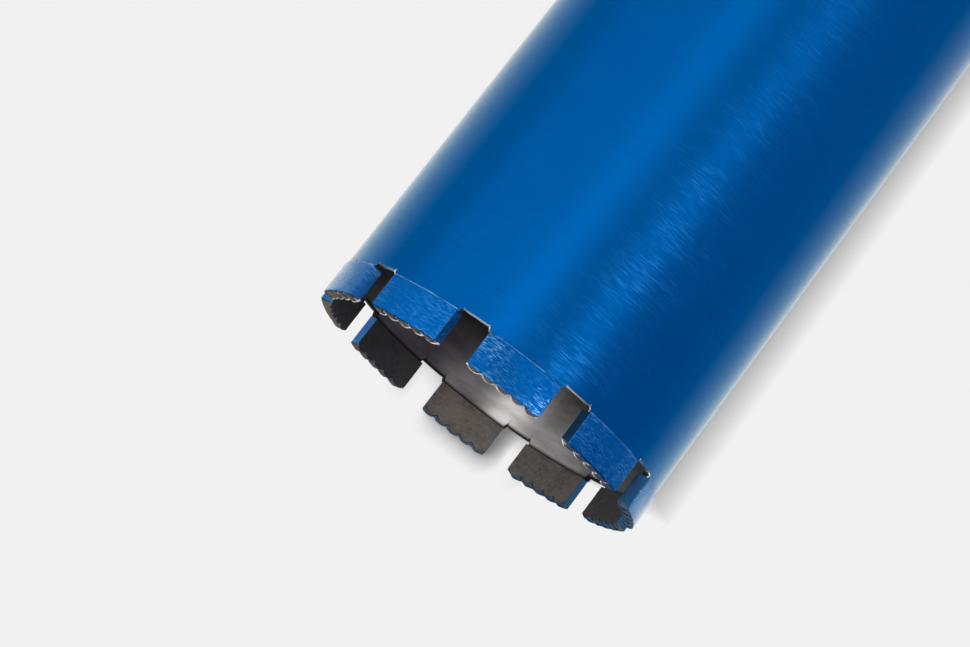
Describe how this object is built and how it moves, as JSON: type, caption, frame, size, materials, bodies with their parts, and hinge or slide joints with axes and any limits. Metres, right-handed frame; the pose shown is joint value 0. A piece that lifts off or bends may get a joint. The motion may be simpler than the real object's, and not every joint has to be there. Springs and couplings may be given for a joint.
{
  "type": "diamond core bit",
  "caption": "Thin-walled steel core bit with waved diamond segments round its rim and a threaded hub, for wet drilling of round holes in concrete.",
  "frame": {"origin": "centre of the hub's seat face, on which the bit stands", "axes": "+Z along the bit's axis from the hub to the crown, -Y through the middle of the first segment"},
  "size_m": [0.1114, 0.112, 0.42],
  "materials": {
    "barrel_paint": "semi-gloss blue paint with fine turning marks",
    "hub_steel": "turned bare steel, with paint round the weld",
    "segment_metal": "matte sintered metal with diamond grit"
  },
  "bodies": {
    "root": {"barrel": "barrel_paint", "back_plate": "barrel_paint", "hub": "hub_steel", "segment_01": "segment_metal", "segment_02": "segment_metal", "segment_03": "segment_metal", "segment_04": "segment_metal", "segment_05": "segment_metal", "segment_06": "segment_metal", "segment_07": "segment_metal", "segment_08": "segment_metal", "segment_09": "segment_metal", "segment_10": "segment_metal"}
  },
  "joints": []
}
